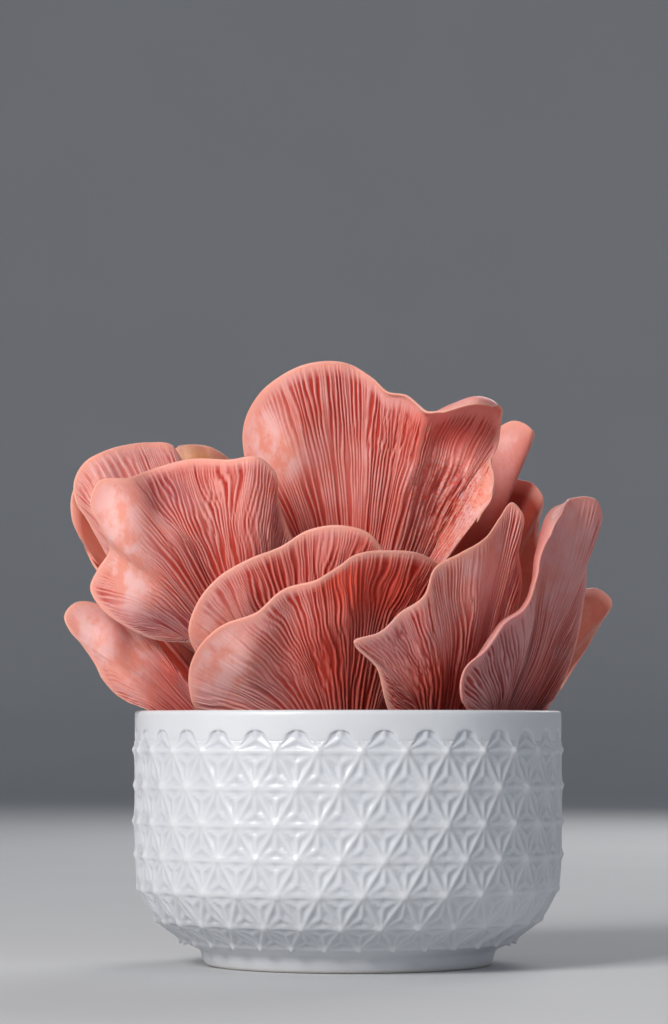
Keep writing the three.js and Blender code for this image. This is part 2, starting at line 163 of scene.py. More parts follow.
# Inset and rise of the rings that lead from the relief into the plain band; how far up the band
# its own rings stand, the height that it leaves free and its number in the relief layer; inset
# and drop of the rings over the rim; and radius and height of those down the inside.
BAND_FOOT = [(-0.15, 0.12), (-0.07, 0.35), (-0.02, 0.7), (0.0, 1.1)]
BAND_SHARES, BAND_MARGINS, BAND_RELIEF = (0.25, 0.6, 0.9), 2.3, 0.1
RIM_ROUND = [(0.03, 0.85), (0.16, 0.5), (0.42, 0.2), (0.8, 0.04), (1.25, 0.0),
             (1.7, 0.04), (2.1, 0.2), (2.35, 0.5), (2.47, 0.85), (2.5, 1.4)]
INSIDE = [(57.5, 60), (57.5, 45), (57.4, 31), (57.0, 26), (56.2, 21), (54.8, 17.5),
          (52.2, 14.2), (48.5, 11), (44, 8.8), (39, 7.6), (30, 7.25), (15, 7.2)]
FLOOR_UNDER, FLOOR_INSIDE = 3.2, 7.2
# The arcade over the highest row: height of its feet, rise of its arches and half their width.
# A crown over 1 gives each arch a short flat top.
ARCADE, ARCH_RISE, ARCH_HALF, ARCH_CROWN = 62.5, 3.0, 0.30, 1.02
# Raised points, the extra height of the lowest ones, and how the relief rises and sinks.
NUB, NUB_RADIUS, LOW_NUB, LOW_ROWS = 0.52, 0.95, 0.4, 0.3
RIDGE, RIDGE_WIDTH, SWELL, PIT, PIT_ROUNDING, SINK = 0.12, 0.5, 0.24, 0.46, 0.08, 0.08
# How far the relief sinks between and inside the arches, and how soon over the highest row.
ARCH_SINK, ARCH_DEPTH, ARCH_FADE = 0.02, 0.13, 0.25


def star_relief(column, row):
    """Hemp-leaf relief in millimetres.

    Points stand at whole columns on even rows and half columns on odd rows. Inside each
    lattice triangle the three weights of its corners give the distance to the nearest
    edge or spoke; the facets sink evenly with that distance, each edge carries a thin
    ridge, and every corner a small nub, taller in the lowest row.
    """
    base = np.floor(row)
    f = row - base
    x = column - 0.5 * (base % 2)
    x = x - np.floor(x)
    up = (x >= f / 2) & (x <= 1 - f / 2)
    y = np.where(x > 0.5, x - 1, x)
    one = np.where(up, f, 1 - f)
    two = np.where(up, x - f / 2, f / 2 + y)
    weights = np.sort(np.stack([one, two, 1 - one - two]), axis=0)
    edge = ROW_HEIGHT * weights[0]
    line = np.minimum(edge, ROW_HEIGHT * (weights[1] - weights[0]) / np.sqrt(3.0))
    away = ROW_HEIGHT * (1 - weights[2])
    nub = (NUB + LOW_NUB * np.exp(-(row / LOW_ROWS) ** 2)) * np.exp(-(away / NUB_RADIUS) ** 2)
    ridge = RIDGE * np.exp(-(edge / RIDGE_WIDTH) ** 2)
    pit = PIT * (np.sqrt(line ** 2 + PIT_ROUNDING ** 2) - PIT_ROUNDING)
    return nub + ridge + SWELL * weights[2] ** 2 - pit - SINK


def body_profile(row):
    """Radius and height of the wall at a row number, smooth through the rows of raised points."""
    slopes = np.gradient(BODY_ROWS, axis=0)
    slopes[-1] = (0.0, ROW_HEIGHT)
    i = np.clip(np.floor(row).astype(int), 0, LAST_ROW - 1)
    t = np.clip(row - i, 0.0, 1.0)[..., None]
    curve = hermite(t, 1.0, BODY_ROWS[i], slopes[i], BODY_ROWS[i + 1], slopes[i + 1])
    curve[..., 1] += np.maximum(row - LAST_ROW, 0.0) * ROW_HEIGHT
    return curve


def make_bowl(material):
    """The bowl as one turned wall: rings from the foot's centre, up the relief, over the rim and
    down the inside to the floor's centre, with the star relief pushed out along the wall."""
    steps, top_rows = ((12, 10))
    turns = np.arange(COLUMNS * 2 * steps) / (2 * steps)
    angle = FIRST_COLUMN + turns * 2 * np.pi / COLUMNS
    rings = []

    def ring(radius, height, sunk=0.0, bare=0.0):
        """Adds a ring of points, with its relief and how bare of glaze it is."""
        rings.append([np.broadcast_to(n, angle.shape) for n in (radius, height, sunk, bare)])

    for radius, height, bare in FOOT:
        ring(radius, height, 0.0, bare)
    for fade in (0.35, 0.8):
        out, up, sunk = (fade * part for part in COLLAR)
        ring(FOOT[-1][0] + out, FOOT[-1][1] + up, sunk)
    from_peak = np.abs(turns - np.floor(turns) - 0.5)
    arch = np.sqrt(np.clip(ARCH_CROWN - (from_peak / ARCH_HALF) ** 2, 0, 1))
    edge = ARCADE + ARCH_RISE * arch
    levels = [np.full(angle.shape, r) for r in np.arange(0, LAST_ROW * steps + 1) / steps]
    edge_row = LAST_ROW + (edge - BODY_ROWS[-1][1]) / ROW_HEIGHT
    levels += [LAST_ROW + (edge_row - LAST_ROW) * s
               for s in np.arange(1, top_rows + 1) / top_rows]
    lean = np.gradient(BODY_ROWS, axis=0)
    for level in levels:
        curve = body_profile(level)
        height = star_relief(turns, level)
        height = height - ((ARCH_SINK + ARCH_DEPTH * arch)
                           * smoothstep(LAST_ROW, LAST_ROW + ARCH_FADE, level))
        tilt_r = np.interp(level, np.arange(LAST_ROW + 1), lean[:, 1])
        tilt_z = np.interp(level, np.arange(LAST_ROW + 1), -lean[:, 0])
        size = np.hypot(tilt_r, tilt_z)
        ring(curve[:, 0] + height * tilt_r / size, curve[:, 1] + height * tilt_z / size, height)
    for out, up in BAND_FOOT:
        ring(RADIUS + out, edge + up, BAND_RELIEF)
    for share in BAND_SHARES:
        ring(RADIUS, edge + BAND_FOOT[-1][1] + (RIM - BAND_MARGINS - edge) * share, BAND_RELIEF)
    for inset, drop in RIM_ROUND:
        ring(RADIUS - inset, RIM - drop, BAND_RELIEF)
    for radius, height in INSIDE:
        ring(radius, height)
    radius, height, sunk, bare = np.moveaxis(np.array(rings), 1, 0)
    count, around = radius.shape
    points = np.concatenate([circle(radius, height, angle).reshape(-1, 3),
                             [(0, 0, FLOOR_UNDER), (0, 0, FLOOR_INSIDE)]])
    ends = np.concatenate([end_fan(0, around, count * around, below=True),
                           end_fan(count - 1, around, count * around + 1)])
    sunk = np.append(sunk, [0, 0])
    layer = np.stack([np.clip(0.5 + sunk, 0, 1), np.append(bare, [0, 0]), sunk * 0,
                      sunk * 0 + 1], axis=-1)
    piece = build_mesh("bowl_star_relief", points, ring_quads(count, around), ends, layer)
    declare(piece, "bowl", material)


# ---------------------------------------------------------------- fruit bodies
# For each: root and neck of its stem, the way its gills face, how far the fan bows that way,
# its share of full detail, and its margin from left to right as seen from the gills: x, y,
# height over the rim and radius of the rolled edge. Folds and spots, whether bare of gills,
# pale, painted grey shade, painted glow and red shade, porous or crumpled, are x, height over
# the rim, half width, half height and amount.
FRUIT_BODIES = {
    "cap_front": {
        "root": (-3, -19), "neck": (-1, -29, -5), "face": (0, -1, 0), "bulge": 2,
        "detail": 0.95, "bare": ((-34, 10, 11, 12, 0.95), (-30, 24, 8, 5, 0.5)),
        "pale": ((-34, 12, 11, 12, 0.85),),
        "painted_glow_and_shade": ((-4, 14, 12, 14, 0.8), (11, 33, 13, 9, 1.2), (-4, 35, 9, 5, 0.7)),
        "painted_grey_shade": ((-36, 4, 9, 8, 0.35), (-20, 6, 8, 6, 0.3)),
        "folds": (
            (-27, 16, 5, 12, 1.6), (-16, 22, 4, 14, -1.4), (0, 30, 4, 10, 1.6),
            (9, 30, 4, 12, -1.6),
        ),
        "crumple": (-6, 8, 12, 9, 1.3),
        "margin": [
            (-39, -31, -3), (-42.5, -35, 3.5), (-43, -38, 10.5), (-39.5, -42, 18),
            (-32.5, -45, 23.5, 1.2), (-24.5, -47, 26, 1.2), (-17.5, -48, 31.5, 1.2),
            (-8, -50, 34.5, 1.2), (-2.5, -49, 38, 1.5), (1.5, -48, 41, 1.5),
            (10.5, -45, 42.5, 1.2), (19.5, -40, 42), (25, -35, 38.5), (25, -31, 28),
        ],
    },
    "cap_front_back": {
        "root": (-11, -11), "neck": (-9, -20, 3), "face": (0, -1, 0), "bulge": 2,
        "detail": 0.6, "pale": ((-38, 22, 6, 8, 0.6),), "bare": ((-38, 22, 6, 7, 0.6),),
        "painted_glow_and_shade": ((-16, 38, 14, 8, 0.5), (4, 42, 7, 6, 0.6)),
        "folds": ((-28, 30, 4, 10, 1.2), (-14, 36, 5, 10, -1.2)),
        "margin": [
            (-37, -24, 10.5), (-41.5, -27, 16), (-43.5, -30, 22), (-41.5, -31, 28.5),
            (-35.5, -33, 36), (-26.5, -35, 41), (-18.5, -35, 44), (-11, -36, 48.5),
            (-2.5, -37, 50), (5.5, -36, 48), (9.5, -34, 43), (12, -31, 35.5), (11, -27, 24),
        ],
    },
    "cap_right_front": {
        "root": (8, -15), "neck": (31, -26, -9), "face": (0.2, -1, 0), "bulge": 2,
        "detail": 0.8, "crumple": (17, 12, 10, 10, 1.5),
        "bare": ((37, 38, 7, 10, 0.8), (9, 17, 6, 4, 0.5)),
        "painted_glow_and_shade": ((24, 8, 10, 8, 0.7), (16, 22, 8, 8, 0.4)), "painted_grey_shade": ((12, 20, 9, 9, 0.6),),
        "folds": ((20, 22, 4, 12, 1.2), (30, 28, 4, 14, -1.4)),
        "pale": ((40, 46, 5, 7, 0.4), (22, 16, 9, 12, 0.3)),
        "margin": [
            (12, -40, -3), (9.5, -43, 3), (7.5, -45, 11), (1.5, -47, 18.5), (8.5, -46, 21),
            (14, -46, 26), (20.5, -45, 31), (22.5, -44, 36.5), (30.5, -39, 42.5), (36.5, -34, 47),
            (40.5, -29, 52.5, 1.5), (45, -26, 57, 1.5), (47.5, -25, 54.5, 1.5), (46.5, -22, 44.5),
            (47.5, -20, 36), (46, -18, 23.5), (42, -18, 9.5),
        ],
    },
    "cap_right": {
        "root": (17, -8), "neck": (47, -16, -9), "face": (0.4, -0.9, 0), "bulge": 2,
        "detail": 0.75, "bare": ((59, 42, 8, 18, 0.9), (44, 26, 6, 6, 0.5)),
        "painted_grey_shade": ((42, 12, 10, 16, 0.6), (59, 44, 8, 14, 0.3)),
        "folds": ((48, 24, 4, 14, 1.4), (57, 26, 4, 16, -1.6)), "pale": ((62, 54, 5, 7, 0.5),),
        "painted_glow_and_shade": ((52, 8, 7, 8, 0.5),),
        "margin": [
            (33, -40, -1.5), (30.5, -43, 3, 2), (31.5, -43, 10, 2), (36.5, -42, 17.5, 2.5),
            (41, -40, 24, 2.5), (46.5, -36, 29, 2.5), (49.5, -31, 37, 2.5), (51, -27, 45.5, 3),
            (55, -23, 55.5, 4), (61, -20, 58.5, 2), (69, -14, 58, 1.5), (70, -12, 54.5, 1.5),
            (67, -9, 48.5), (66, -7, 34), (64, -8, 20.5), (60.5, -10, 9.5), (57.5, -12, 3.5),
        ],
    },
    "cap_tall": {
        "root": (-9, 3), "neck": (4, 8, 17), "face": (0.05, -1, -0.1), "bulge": 3,
        "detail": 0.93, "rows": 56, "gill": 0.75,
        "bare": (
            (-23, 76, 7, 11, 1.0), (-17, 70, 6, 6, 0.8), (31, 76, 8, 5, 0.5),
            (32, 60, 6, 9, 0.75), (38, 59, 4, 9, 1.0), (27, 50, 6, 6, 0.6),
        ),
        "pale": (
            (-23, 76, 7, 11, 1.0), (-16, 70, 6, 6, 0.7), (32, 61, 7, 9, 0.8), (38, 59, 4, 9, 1.0),
            (26, 50, 7, 6, 0.6), (6, 62, 10, 10, 0.25),
        ),
        "painted_glow_and_shade": ((30, 77, 9, 5, 0.7), (0, 52, 14, 8, 0.35), (18, 80, 7, 5, 0.5)),
        "pores": ((30, 63, 8, 8, 1.2), (22, 64, 6, 8, 0.6), (26, 50, 8, 9, 0.7)),
        "folds": (
            (28, 77, 7, 5, -3.4), (34, 64, 5, 9, 2.6), (38, 55, 3, 8, 2.0), (24, 58, 5, 12, -1.2),
            (-16, 74, 7, 12, 1.6), (-4, 70, 6, 16, -0.8), (8, 66, 5, 14, 0.8),
        ),
        "crumple": (17, 78, 11, 8, 2.2),
        "margin": [
            (-22, 4, 55.5), (-28, 2, 68), (-29, 0, 81), (-25.5, -3, 88), (-19, -7, 93.5),
            (-11, -10, 97), (-0.5, -11, 97, 1.2), (7, -12, 92.5, 2), (11, -12, 89, 2.2),
            (16, -13, 88, 2.2), (22, -15, 83.5, 2.5), (28.5, -13, 86.5, 4), (36.5, -10, 89, 5),
            (42.5, -7, 86, 3), (42.5, -6, 78, 1.5), (40, -6, 69, 2), (41.5, -7, 62.5, 4),
            (38.5, -8, 55, 4),
        ],
    },
    "cap_left_front": {
        "root": (-19, -4), "neck": (-28, -12, 20), "face": (-0.3, -1, 0), "bulge": 4,
        "detail": 0.95, "roll": 0.5,
        "bare": (
            (-64, 60, 8, 8, 1.0), (-63, 48, 8, 9, 1.0), (-59, 36, 7, 7, 0.8),
            (-60, 27, 7, 4, 0.6), (-20, 60, 4, 7, 0.4),
        ),
        "pale": (
            (-64, 58, 6, 9, 0.8), (-62, 44, 7, 9, 1.0), (-58, 32, 8, 8, 0.8),
            (-35, 50, 6, 12, 0.3),
        ),
        "painted_grey_shade": ((-49, 61, 6, 6, 0.8), (-46, 24, 14, 5, 0.6), (-58, 24, 8, 5, 0.4)),
        "painted_glow_and_shade": ((-30, 36, 8, 10, 0.35), (-20, 62, 4, 8, 0.5), (-36, 66, 14, 3, 0.3)),
        "folds": (
            (-62, 50, 7, 16, 2.4), (-52, 58, 4, 9, -2.0), (-44, 52, 4, 12, 1.0),
            (-56, 30, 8, 6, 1.2), (-28, 56, 4, 14, 0.8), (-36, 54, 3, 14, -0.6),
        ),
        "margin": [
            (-36, -17, 18.5), (-45, -19, 19), (-54, -21, 20), (-61, -22, 23), (-68.5, -22, 29),
            (-71, -21, 34, 1.5), (-69, -20, 39, 2), (-66, -20, 44, 2.5), (-68.5, -23, 51, 3),
            (-71, -24, 57, 3.5), (-68.5, -24, 63, 3.5), (-61, -21, 64, 2.5),
            (-55.5, -16, 66.5, 1.2), (-44.5, -17, 69.5), (-33, -22, 69), (-25, -24, 69.5),
            (-20.5, -22, 66), (-18.5, -18, 56), (-14.5, -13, 44.5),
        ],
    },
    "cap_left_back": {
        "root": (-20, 6), "neck": (-30, 4, 13), "face": (-0.5, -0.85, 0), "bulge": 3,
        "detail": 0.5, "roll": 0.3, "bare": ((-68, 58, 6, 12, 0.9),),
        "pale": ((-68, 60, 5, 12, 0.9),), "folds": ((-70, 62, 4, 9, 2.0), (-64, 62, 3, 9, -1.5)),
        "margin": [
            (-59, 4, 34), (-67, 1, 43.5, 2), (-72.5, -1, 53, 3), (-76.5, -1, 58.5, 3),
            (-77.5, 0, 63.5, 4), (-74.5, 1, 70, 3), (-69.5, 2, 73, 2), (-63.5, 4, 75, 1.5),
            (-57, 6, 76), (-50.5, 7, 75.5), (-47, 8, 71), (-42, 7, 63), (-38.5, 5, 51.5),
        ],
    },
    "cap_left_low_back": {
        "root": (-18, 14), "neck": (-34, 15, 7), "face": (-0.9, 0.4, 0), "bulge": 2,
        "detail": 0.3, "painted_glow_and_shade": ((-46, 14, 9, 12, 1.0),),
        "margin": [
            (-66.5, 32, 50, 2), (-66.5, 30, 60, 2), (-68.5, 24, 66.5, 2), (-72.5, 17, 67, 2),
            (-77, 11, 64.5, 2), (-78.5, 6, 59, 2), (-78, 6, 54, 2), (-73.5, 9, 44),
            (-70.5, 7, 38),
        ],
    },
    "cap_low_left": {
        "root": (-18, -14), "neck": (-40, -14, -2), "face": (-0.25, -1, -0.2), "bulge": 1,
        "detail": 0.5, "gill": 0.6,
        "bare": ((-70, 24, 10, 10, 1.2), (-60, 14, 9, 9, 0.8), (-54, 6, 8, 6, 0.6)),
        "pale": ((-72, 22, 6, 10, 0.8), (-60, 14, 9, 9, 0.8)),
        "painted_grey_shade": ((-74, 16, 4, 6, 0.3), (-45, 12, 4, 10, 0.7)), "painted_glow_and_shade": ((-46, 12, 6, 9, 1.0),),
        "folds": ((-66, 20, 4, 6, 1.0), (-60, 18, 3, 8, -0.8)),
        "margin": [
            (-57, -16, 1.2), (-62, -17, 2.5), (-67.5, -19, 8), (-70, -19, 13), (-73, -19, 17.5),
            (-77, -19, 22.5), (-78.5, -18, 26), (-76, -16, 29.5, 1.5), (-70.5, -13, 29.5, 1.5),
            (-66, -12, 27, 1.5), (-60, -12, 24, 1.5), (-54, -13, 19.5, 1.5), (-49, -13, 12, 1.5),
        ],
    },
    "cap_right_low_back": {
        "root": (19, 2), "neck": (44, 10, -3), "face": (0.6, 0.8, 0), "bulge": 2,
        "detail": 0.3,
        "margin": [
            (61.5, 27, 6), (66, 34, 13), (75, 44, 26.5), (78, 45, 32.5), (74.5, 44, 35.5),
            (70, 40, 35.5), (62, 32, 29),
        ],
    },
    "cap_right_back": {
        "root": (12, 10), "neck": (24, 16, 5), "face": (0.3, 0.95, 0), "bulge": 2,
        "detail": 0.45, "roll": 0.3, "bare": ((47, 75, 9, 11, 1.0),),
        "pale": ((47, 75, 7, 9, 1.3),), "painted_glow_and_shade": ((44, 56, 8, 9, 1.0),),
        "margin": [
            (54.5, 27, 17.5), (58, 34, 29.5), (57.5, 38, 44.5), (56, 38, 56), (57, 35, 62.5, 3),
            (54, 36, 66.5, 2), (50, 39, 68, 2), (51, 33, 77, 2), (53.5, 31, 81.5, 2),
            (49.5, 32, 84, 3), (44, 34, 82, 2), (36, 35, 78.5), (27, 34, 67.5), (21.5, 32, 54),
        ],
    },
    "cap_back_left": {
        "root": (-9, 14), "neck": (-24, 20, 7), "face": (-0.4, 0.9, 0), "bulge": 2,
        "detail": 0.35, "pale": ((-43, 71, 7, 3.2, 1.1),), "bare": ((-43, 70, 12, 8, 0.9),),
        "margin": [
            (-28, 34, 53, 2), (-29.5, 31, 64.5, 2), (-33.5, 26, 72, 2), (-39.5, 22, 76, 2),
            (-45.5, 20, 77.5, 3), (-49.5, 21, 75.5, 2), (-52.5, 23, 69.5), (-53, 25, 58.5),
            (-51.5, 26, 44), (-47, 25, 32),
        ],
    },
    "cap_back_right": {
        "root": (9, 19), "neck": (18, 26, 1), "face": (0.45, 0.9, 0), "bulge": 3,
        "detail": 0.5,
        "margin": [
            (48, 30, 11), (56, 41, 25), (52, 49, 37), (42, 56, 47), (28, 59, 55), (14, 58, 54),
            (3, 53, 47), (-3, 47, 33), (2, 41, 17),
        ],
    },
    "cap_back": {
        "root": (-1, 21), "neck": (-8, 30, -1), "face": (-0.1, 1, 0), "bulge": 3,
        "detail": 0.4,
        "margin": [
            (5, 44, 9), (0, 52, 23), (-4, 57, 35), (-14, 60, 42), (-28, 59.5, 39), (-38, 55, 31),
            (-42, 49, 21), (-36, 40, 9),
        ],
    },
    "cap_back_left_low": {
        "root": (-14, 22), "neck": (-28, 24, -1), "face": (-0.6, 0.8, 0), "bulge": 2,
        "detail": 0.35, "painted_glow_and_shade": ((-44, 14, 12, 14, 1.0),),
        "margin": [
            (-38, 46, 33), (-46, 49, 43), (-57, 48, 46), (-66, 43, 40), (-70, 37, 29),
            (-68, 32, 17), (-60, 28, 6),
        ],
    },
}
BUTT_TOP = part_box("cluster_butt")[1][2] / MM
ROOT_SINK = 3.0
# Width of a stem at its root and at its neck, and the flesh's thickness in the stem, where the
# fan begins and at the margin.
STEM_WIDTH, NECK_WIDTH = 8.0, 9.0
STEM_THICKNESS, FLESH, EDGE = 6.5, 1.9, 0.75
FAN_START = 0.5
# Where the rolled edge curls towards the gills: degrees for each millimetre of its radius and
# the most it turns. A radius under ROLL_FROM leans away by LEAN radians instead.
CURL_PER_MM, CURL_LIMIT = 40.0, 150.0
ROLL_FROM, ROLL_TO, LEAN = 1.3, 2.6, 0.5
# Points across and along a sheet at full detail, round its rolled edge and down its smooth side.
FAN_COLUMNS, FAN_ROWS, ROLL_ROWS, BACK_ROWS = 1330, 44, 9, 11
# Spacing of the gills, half of a crest's width as a share of it, and how far they stand out.
GILL_PITCH, GILL_LEVELS, CREST_HALF, GILL_HEIGHT = 0.94, 6, 0.34, 0.66
LIP_WIDTH, LIP_CORE = 2.0, 0.6
# Share of the way across the lip's edge, and how far out it stands there.
LIP_ROUND = ((0.2, 0.75), (0.5, 1.0), (0.8, 0.75))
# Noises that sway a sheet: length across in millimetres, waves from root to margin, seed and
# height. Then those that bend its gills: length across, length down, seed and sideways reach.
SWAYS = ((26, 3, 3, 1.3), (10, 5, 4, 0.5), (4.5, 9, 5, 0.16))
DRIFTS = ((12, 18, 0, 2.2), (5.0, 8.0, 1, 1.0), (2.0, 4.0, 2, 0.36))


def along_margin(margin, count):
    """Rows sampled at even distances along a smooth cubic line through the margin's points, and
    the line's length. A point without a roll takes 1 mm."""
    rows = np.array([(x, y, RIM + h, roll) for x, y, h, roll in
                     [(*m, 1.0)[:4] for m in margin]])
    run = np.concatenate([[0], np.cumsum(np.linalg.norm(np.diff(rows[:, :3], axis=0), axis=1))])
    span = np.diff(run)[:, None]
    rise = np.diff(rows, axis=0) / span
    slope = np.empty_like(rows)
    slope[1:-1] = (rise[:-1] * span[1:] + rise[1:] * span[:-1]) / (span[1:] + span[:-1])
    slope[0], slope[-1] = rise[0], rise[-1]
    t = np.linspace(0, run[-1], count)
    i = np.clip(np.searchsorted(run, t, side="right") - 1, 0, len(rows) - 2)
    x = ((t - run[i]) / span[i, 0])[:, None]
    return hermite(x, span[i], rows[i], slope[i], rows[i + 1], slope[i + 1]), run[-1]


def middle_sheet(body, columns, lengthwise, rolled):
    """Middle of the flesh: one cubic curve per margin sample, from the root through the neck to
    the margin, ending in an arc that rolls towards the gills, or, where the roll is small,
    in a short lip that leans away from them."""
    rim, length = along_margin(body["margin"], columns)
    root = np.array([*body["root"], BUTT_TOP - ROOT_SINK])
    neck = np.array(body["neck"], float) + (0, 0, RIM)
    face = unit(np.array(body["face"], float))
    side = unit(np.cross(neck - root, face))
    u = np.linspace(-0.5, 0.5, columns)[:, None]
    edge, roll = rim[:, :3], rim[:, 3:] * body.get("roll", 1.0)
    a = root + u * STEM_WIDTH * side
    b = neck + u * NECK_WIDTH * side
    c = (neck + edge) / 2 + face * body["bulge"]
    outward = unit(edge - c)
    inward = smoothstep(ROLL_FROM, ROLL_TO, roll)
    curl = np.radians(np.minimum(CURL_LIMIT, CURL_PER_MM * roll)) * inward - LEAN * (1 - inward)
    curl = np.where(np.abs(curl) < 0.05, 0.05, curl)
    bend = np.maximum(roll * inward * np.abs(curl), 0.5) / curl
    d = edge - outward * bend * np.sin(np.minimum(curl, np.pi / 2))
    over = unit(face - outward * (outward @ face)[:, None])
    v = lengthwise[:, None, None]
    sheet = (1 - v) ** 3 * a + 3 * (1 - v) ** 2 * v * b + 3 * (1 - v) * v ** 2 * c + v ** 3 * d
    s = rolled[:, None, None] * curl
    arc = d + bend * (np.sin(s) * outward + (1 - np.cos(s)) * over)
    return np.concatenate([sheet, arc]), length


def spot_sum(spots, x, h):
    """Sum of soft elliptical spots, each (x, height over the rim, half width, half height,
    amount), laid on the sheet as seen from the front."""
    total = np.zeros_like(x)
    for centre_x, centre_h, wide, tall, amount in spots:
        total += amount * np.exp(-((x - centre_x) / wide) ** 2 - ((h - centre_h) / tall) ** 2)
    return total


def spots_of(body, key, x, h, most=1.0):
    """The body's spots of one kind, kept between 0 and the most allowed."""
    return np.clip(spot_sum(body.get(key, ()), x, h), 0, most)


def sheet_push(u, v, x, h, length, body, seed):
    """How far the sheet moves out of its plane: three noises from broad to fine that sway it,
    held still across the rolled edge, and the body's own folds, eased off at the margin."""
    held = np.minimum(v, 1.0)
    sway = sum(soft_noise(u * length / across, held * waves, seed + more) * high
               for across, waves, more, high in SWAYS)
    fold = spot_sum(body.get("folds", ()), x, h) * smoothstep(0.25, 0.55, v)
    fold = fold * (1 - 0.5 * smoothstep(0.85, 1.0, v))
    return sway * smoothstep(0.3, 0.8, v) + fold


def flesh_thickness(u, v, flank):
    """Round in the stem, flat in the fan, thinning to the margin and at both flanks."""
    fan = np.clip(v / FAN_START, 0, 1)
    thick = np.where(v < FAN_START, STEM_THICKNESS + (FLESH - STEM_THICKNESS) * fan,
                     FLESH + (EDGE - FLESH) * np.clip((v - FAN_START) / (1 - FAN_START), 0, 1))
    across = np.sqrt(np.clip(1 - (1 - fan) * (2 * u - 1) ** 2, 0.06, 1))
    return thick * across * (0.35 + 0.65 * smoothstep(0, 1.2, flank))


def gill_ridges(u, v, x, h, width, reach, body, seed):
    """Gill height from 0 to 1.

    Ridges run from stem to margin. Each level has twice as many as the one before, and a
    level grows in where its own spacing is wide enough, so the spacing stays even as the
    fan opens. Slow noises bend neighbouring gills together, and a finer one makes each
    waver by itself. The crests are broad, the grooves between them narrow, and each crest
    dips now and then along its length. Where the body is crumpled the gills wave more.
    """
    top = np.max(width)
    first = max(3, int(round(top / GILL_PITCH / 16)))
    across, down = u * top, v * np.max(np.abs(reach))
    drift = sum(soft_noise(across / wide, down / tall, seed + more) * far
                for wide, tall, more, far in DRIFTS)
    if "crumple" in body:
        waves = soft_noise(across / 3.0, down / 2.6, seed + 3)
        drift = drift + spot_sum((body["crumple"],), x, h) * waves
    lane = u + drift * smoothstep(0.25, 0.7, v) / top
    height = np.zeros_like(u)
    for level in 2 ** np.arange(GILL_LEVELS):
        count = first * level
        gap = width / count
        if level > 1 and np.max(gap) < 0.75 * GILL_PITCH:
            break
        place = lane * count
        nearest = np.round(place)
        chance = np.random.default_rng(seed + 7 + level)
        onset = chance.uniform(-0.4, 0.4, count + 3)
        tall = chance.uniform(0.65, 1.0, count + 3)
        index = np.clip(nearest.astype(int), 0, count + 2)
        beads = 1 - 0.28 * smoothstep(0.0, 0.8, soft_noise(nearest * 1.7, down / 5.0, seed + level))
        grown = smoothstep(0.7 + onset[index], 1.1 + onset[index], gap / GILL_PITCH) * tall[index]
        apart = np.abs(place - nearest) * gap
        ridge = 1.0 / (1.0 + (apart / (CREST_HALF * GILL_PITCH)) ** 5)
        height = np.maximum(height, ridge * grown * beads)
    return height


def gill_cover(u, v, x, h, length, flank, body, seed):
    """Where gills stand, from 0 to 1: not in the stem, on the lip, at the flanks or on bare
    spots, and thinner in slow patches."""
    clear = smoothstep(1.0, 0.965, v) * smoothstep(0.0, 1.5, flank) * smoothstep(0.1, 0.3, v)
    clear = clear * (1 - spots_of(body, "bare", x, h, 0.97))
    return clear * (1 - 0.35 * smoothstep(0.2, 0.9, soft_noise(u * length / 14, v * 4, seed)))


